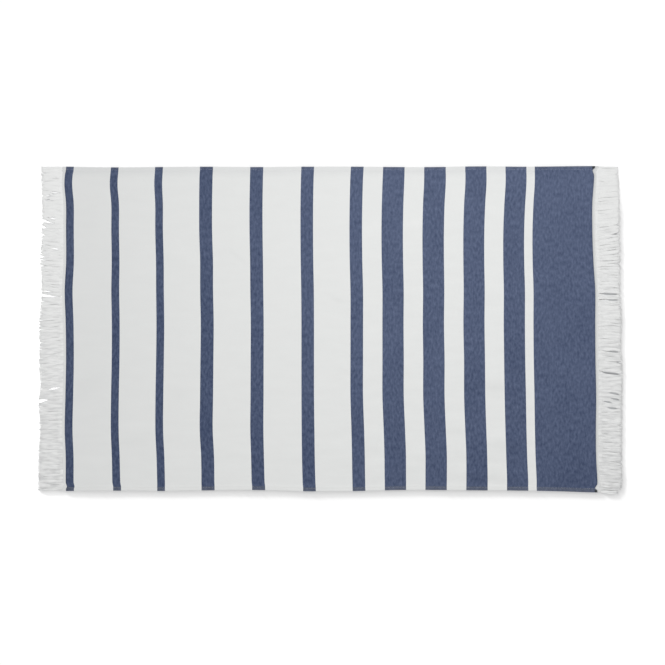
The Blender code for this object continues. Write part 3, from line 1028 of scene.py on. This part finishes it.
def cotton_yarn(name, plies, groove=0.0):
    """Spun cotton: plies wound round the yarn, a tone of its own for each yarn, and deep shade where
    it is bared in a parting. The groove is the depth between yarns side by side on one face."""
    nodes = Nodes(name)
    place = nodes.add("ShaderNodeUVMap", uv_map="weave").outputs[0]
    run, round_yarn = nodes.parts(place)
    turn = nodes.math("ADD", nodes.math("DIVIDE", run, PLY_PITCH), round_yarn)
    wind = nodes.line(nodes.math("SINE", nodes.times(turn, math.tau * plies)), 0.5, 0.5)
    fuzz = nodes.noise(place, FUZZ_SIZE, 2.0)
    spot = nodes.add("ShaderNodeTexCoord").outputs["Object"]
    cloud = nodes.spread(nodes.noise(spot, CLOUD_SIZE, 2.0), -1.0, 1.0)
    own = nodes.add("ShaderNodeTexWhiteNoise", noise_dimensions="1D")
    nodes.link(nodes.math("FLOOR", round_yarn), own.inputs["W"])
    _, across = nodes.parts(spot)

    tone = nodes.times(fuzz, FUZZ_TONE)
    tone = nodes.line(own.outputs["Value"], OWN_TONE, tone)
    tone = nodes.line(cloud, nodes.line(across, CLOUD_TONE_ACROSS, CLOUD_TONE), tone)
    tone = nodes.line(across, YARN_TONE_ACROSS, tone)
    tone = nodes.math("ADD", tone, nodes.spread(wind, PLY_TONE, 0.0))
    tone = nodes.times(tone, YARN_TONE, clamp=True)
    colour = nodes.mix(tone, YARN_WHITE, YARN_SHADE)
    # Painted deep shade where a core is bared in a parting.
    deep = nodes.line(nodes.stored("bared"), BARED_STEEPNESS, -BARED_STEEPNESS * BARED_FROM, clamp=True)
    nodes.fill(nodes.shader, {"Base Color": nodes.mix(deep, colour, DEEP_SHADE), "Roughness": 0.95})
    nodes.fill(nodes.shader, {"Specular IOR Level": 0.15, "Sheen Weight": 0.2, "Sheen Roughness": 0.6})

    height = nodes.line(fuzz, FUZZ_HEIGHT, wind)
    nodes.relief(nodes.line(nodes.hump(round_yarn), groove, height), YARN_RELIEF)
    return nodes.material


# ---- studio

FLOOR_HALF = 6.0
FLOOR_DROP = 0.0003
FLOOR_WHITE = (0.9, 0.9, 0.9, 1)
CAMERA_AT = (0.0063, -0.0078, 4.85)
CAMERA_LENS = 85.0

# The light on the towel. The flag is the same panel, weaker, for the right fringe.
WORLD_STRENGTH = 0.745
KEY_WIDTH = 60.0
KEY_STRENGTH = 0.17
PANEL_AT = (0.36, 0.6, 1.6)
PANEL_TARGET = (0.33, 0.33, 0)
PANEL_SIZE = 1.2
PANEL_STRENGTH = 7.3
FLAG_STRENGTH = 4.3

# The low suns that cast the towel's soft shadow: (elevation and width in degrees, strength).
LOW_SUNS = ((6.0, 3.6, 6.8), (9.7, 7.5, 1.55), (15.8, 9.0, 0.6), (20.0, 13.0, 0.2))
LOW_SUNS_FROM = (-1.0, 1.0)

# A small lamp that softens the shadow at the upper right corner.
FILL_AT = (0.93, 0.50, 0.6)
FILL_WIDTH = 30.0
FILL_RADIUS = 0.05
FILL_STRENGTH = 5.0

# Low strips that light the floor in the left fringe's openings and by the right fringe's ends:
# (place along X, strength).
STRIPS = ((-0.885, 0.31), (0.907, 0.05))
STRIP_HEIGHT = 0.07
STRIP_SIZE = (0.05, 0.88)


def collect(name, pieces):
    """A collection of the pieces that a light falls on, or is blocked by."""
    group = bpy.data.collections.new(name)
    for piece in pieces:
        group.objects.link(piece)
    return group


def add_light(name, kind, energy, lit, **settings):
    """A light of a kind, with its strength and settings, that falls on one collection alone."""
    light = bpy.data.lights.new(name, kind)
    light.energy = energy
    for key, value in settings.items():
        setattr(light, key, value)
    lamp = bpy.data.objects.new(name, light)
    lamp.light_linking.receiver_collection = lit
    bpy.context.scene.collection.objects.link(lamp)
    return lamp


def make_floor():
    """A plain pale floor, just under the towel."""
    corners = np.array([(-1, -1, 0), (1, -1, 0), (1, 1, 0), (-1, 1, 0)]) * FLOOR_HALF
    corners = corners - (0, 0, FLOOR_DROP)
    nodes = Nodes("floor_white")
    nodes.fill(nodes.shader, {"Base Color": FLOOR_WHITE, "Roughness": 1.0, "Specular IOR Level": 0.0})
    floor = new_piece("floor", corners, np.array([[0, 1, 2, 3]]), nodes.material)
    return floor


def aim(thing, place, target):
    """Puts a light or camera at a place, looking at a target."""
    thing.location = place
    away = np.array(place, float) - np.array(target, float)
    heading = math.atan2(away[0], -away[1])
    thing.rotation_euler = (math.acos(away[2] / np.linalg.norm(away)), 0, heading)


def make_lights(floor, pieces):
    """Lights for the towel: a pale world, a soft panel up to the right and a wide key from above. For
    the floor alone: low suns that cast the towel's shadow, and a fill and strips that soften it."""
    world = bpy.data.worlds.new("studio")
    world.use_nodes = True
    background = world.node_tree.nodes["Background"]
    background.inputs["Color"].default_value = (1, 1, 1, 1)
    background.inputs["Strength"].default_value = WORLD_STRENGTH
    bpy.context.scene.world = world

    for name, energy, right in (("panel", PANEL_STRENGTH, False), ("flag", FLAG_STRENGTH, True)):
        lit = [piece for piece in pieces if piece.name.endswith("_right") == right]
        lit = collect("lit_by_" + name, lit)
        lamp = add_light(name, "AREA", energy, lit, shape="SQUARE", size=PANEL_SIZE)
        aim(lamp, PANEL_AT, PANEL_TARGET)
    add_light("key", "SUN", KEY_STRENGTH, collect("lit_by_key", pieces), angle=math.radians(KEY_WIDTH))

    floor_only = collect("floor_only", [floor])
    width = math.radians(FILL_WIDTH)
    spot = {"spot_size": width, "spot_blend": 1.0, "shadow_soft_size": FILL_RADIUS}
    add_light("fill", "SPOT", FILL_STRENGTH, floor_only, **spot).location = FILL_AT
    length, width = STRIP_SIZE
    for along, energy in STRIPS:
        lamp = add_light("strip", "AREA", energy, floor_only, shape="RECTANGLE", size=length, size_y=width)
        lamp.location = (along, 0, STRIP_HEIGHT)
        lamp.visible_camera = False
        lamp.light_linking.blocker_collection = floor_only
    for elevation, width, energy in LOW_SUNS:
        lamp = add_light("low_sun", "SUN", energy, floor_only, angle=math.radians(width))
        height = math.hypot(*LOW_SUNS_FROM) * math.tan(math.radians(elevation))
        aim(lamp, (*LOW_SUNS_FROM, height), (0, 0, 0))


def make_camera():
    """Straight above the towel's middle, looking down, with its length level."""
    lens = bpy.data.cameras.new("camera")
    lens.lens = CAMERA_LENS
    camera = bpy.data.objects.new("camera", lens)
    camera.location = CAMERA_AT
    bpy.context.scene.collection.objects.link(camera)
    bpy.context.scene.camera = camera


def main():
    make_camera()
    weave = woven_cotton()
    yarn = cotton_yarn("cotton_yarn", 2)
    inner_yarn = cotton_yarn("inner_yarn", 2, CORE_GROOVE)
    thread = cotton_yarn("sewing_thread", 3)

    cloth = make_cloth(weave)
    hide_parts("cloth")
    stitches = [make_stitches("stitches_lower", -1, thread), make_stitches("stitches_upper", 1, thread)]
    edgings = list(stitches)
    for side, name in ((-1, "left"), (1, "right")):
        header = make_header("header_" + name, side, weave)
        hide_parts("fringe_" + name)
        locks = lay_locks(side)
        yarns = make_yarns("yarns_" + name, locks, yarn)
        cores = make_cores("cores_" + name, locks, inner_yarn)
        for piece in (yarns, cores):
            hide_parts("fringe_" + name)
        edgings += [header, yarns, cores]
    for piece in (cloth, *edgings):
        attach(piece, BODY)

    floor = make_floor()
    make_lights(floor, [cloth, *edgings])
    bpy.context.scene.view_settings.view_transform = "Standard"


main()
